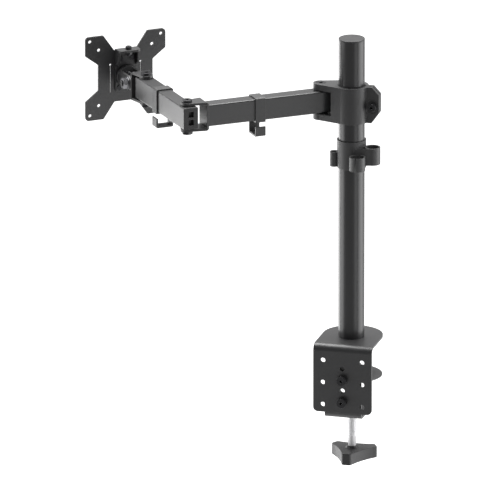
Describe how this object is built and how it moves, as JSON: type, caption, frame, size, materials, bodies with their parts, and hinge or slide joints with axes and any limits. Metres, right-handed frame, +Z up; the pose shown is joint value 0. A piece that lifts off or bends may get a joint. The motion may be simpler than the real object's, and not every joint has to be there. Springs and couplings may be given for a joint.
{
  "type": "monitor arm",
  "caption": "Desk clamp with a tall pole, a split collar that carries a folding horizontal arm, and a tilting, turning cross-shaped mounting plate for a screen.",
  "frame": {"origin": "on the pole's axis, in the plane where the clamp's foam pad meets the desk top", "axes": "+Z up along the pole, +X along the width of the clamp, -Y out of the clamp's front leg"},
  "size_m": [0.3993, 0.2105, 0.5707],
  "materials": {
    "black_coat": "semi-gloss black powder coat on sheet steel and tube",
    "cast_coat": "satin black powder coat on a casting",
    "pole_coat": "smooth semi-gloss black coat",
    "black_plastic": "fine-grained black moulding",
    "clip_plastic": "satin dark grey moulding",
    "washer_plastic": "black nylon",
    "foam": "black closed-cell foam",
    "pad_rubber": "ribbed black rubber",
    "bright_steel": "bright nickel plating",
    "plated_steel": "dull dark zinc plating",
    "black_bolt": "black oxide",
    "brass": "plain",
    "aluminium": "turned"
  },
  "bodies": {
    "desk_clamp": {"clamp_top_bracket": "black_coat", "desk_foam": "foam", "clamp_lower_bracket": "black_coat", "thread_boss": "black_coat", "bracket_bolts": "black_bolt", "pole_tube": "pole_coat", "pole_cap": "black_plastic", "pole_base_plug": "aluminium", "pole_bolt": "black_bolt"},
    "pad_carrier": {"screw_tip": "bright_steel"},
    "clamp_pad": {"clamp_pad": "black_coat", "pad_rubber": "pad_rubber"},
    "clamp_screw": {"clamp_screw": "bright_steel", "clamp_knob": "black_plastic", "knob_insert": "brass"},
    "pole_cable_clip": {"pole_cable_clip": "clip_plastic"},
    "collar_liner": {"collar_liner": "washer_plastic"},
    "collar": {"collar_body": "cast_coat", "collar_screw": "black_bolt", "collar_nut": "black_bolt", "shoulder_bolt": "black_bolt", "shoulder_nut": "black_bolt"},
    "arm_1": {"shoulder_washers": "washer_plastic", "arm_1_tube": "black_coat", "arm_1_shoulder_plug": "black_plastic", "elbow_bracket": "black_coat", "elbow_bolt": "black_bolt", "elbow_nut": "black_bolt"},
    "arm_1_cable_clip": {"arm_1_cable_clip": "clip_plastic"},
    "arm_2": {"elbow_washers": "washer_plastic", "arm_2_tube": "black_coat", "arm_2_elbow_plug": "black_plastic", "arm_2_head_plug": "black_plastic", "head_washers": "washer_plastic"},
    "arm_2_cable_clip": {"arm_2_cable_clip": "clip_plastic"},
    "head_swivel": {"head_bracket": "black_coat", "head_bolt": "black_bolt", "head_nut": "black_bolt", "tilt_knuckle": "cast_coat"},
    "tilt_yoke": {"tilt_yoke": "cast_coat", "tilt_bolt": "black_bolt", "tilt_washer": "plated_steel", "tilt_nut": "plated_steel", "hub_washer": "washer_plastic"},
    "vesa_head": {"vesa_plate": "black_coat", "plate_carrier": "black_coat", "plate_rivets": "black_bolt", "hub_bolt": "black_bolt", "hub_nut": "plated_steel", "carrier_lock_screw": "black_bolt", "carrier_lock_nut": "black_bolt"}
  },
  "joints": [
    {"name": "clamp_travel", "type": "slide", "parent": "desk_clamp", "child": "pad_carrier", "axis": [0, 0, 1], "range_m": [-0.024, 0.039]},
    {"name": "clamp_screw_turn", "type": "hinge", "parent": "pad_carrier", "child": "clamp_screw", "pos_m": [0, 0.0056, -0.0613], "axis": [0, 0, 1], "range_deg": [-4939, 8025]},
    {"name": "pad_tilt", "type": "hinge", "parent": "pad_carrier", "child": "clamp_pad", "pos_m": [0, 0.0056, -0.0513], "axis": [1, 0, 0], "range_deg": [-4, 4]},
    {"name": "pole_clip_slide", "type": "slide", "parent": "desk_clamp", "child": "pole_cable_clip", "axis": [0, 0, 1], "range_m": [-0.22, 0]},
    {"name": "collar_height", "type": "slide", "parent": "desk_clamp", "child": "collar_liner", "axis": [0, 0, 1], "range_m": [-0.024, 0.06]},
    {"name": "collar_swivel", "type": "hinge", "parent": "collar_liner", "child": "collar", "pos_m": [0, 0, 0.32], "axis": [0, 0, 1], "continuous": true},
    {"name": "arm_1_swivel", "type": "hinge", "parent": "collar", "child": "arm_1", "pos_m": [-0.041, 0, 0.32], "axis": [0, 0, 1], "range_deg": [-126.9, 53.1]},
    {"name": "elbow_swivel", "type": "hinge", "parent": "arm_1", "child": "arm_2", "pos_m": [-0.1899, -0.1118, 0.32], "axis": [0, 0, 1], "range_deg": [-29.5, 206.5]},
    {"name": "head_swivel", "type": "hinge", "parent": "arm_2", "child": "head_swivel", "pos_m": [-0.27239, -0.00772, 0.32], "axis": [0, 0, 1], "range_deg": [-90, 90]},
    {"name": "head_tilt", "type": "hinge", "parent": "head_swivel", "child": "tilt_yoke", "pos_m": [-0.29351, 0.01892, 0.32], "axis": [-0.7837, -0.6211, 0], "range_deg": [-45, 45]},
    {"name": "plate_rotate", "type": "hinge", "parent": "tilt_yoke", "child": "vesa_head", "pos_m": [-0.3109, 0.04086, 0.32], "axis": [-0.6211, 0.7837, 0], "continuous": true},
    {"name": "arm_1_clip_slide", "type": "slide", "parent": "arm_1", "child": "arm_1_cable_clip", "axis": [-0.7997, -0.6004, 0], "range_m": [-0.035, 0.045]},
    {"name": "arm_2_clip_slide", "type": "slide", "parent": "arm_2", "child": "arm_2_cable_clip", "axis": [-0.6211, 0.7837, 0], "range_m": [-0.03, 0.02]}
  ],
  "couplings": [
    {"joint": "clamp_screw_turn", "follows": "clamp_travel", "rad_per_m": 3590.4}
  ]
}
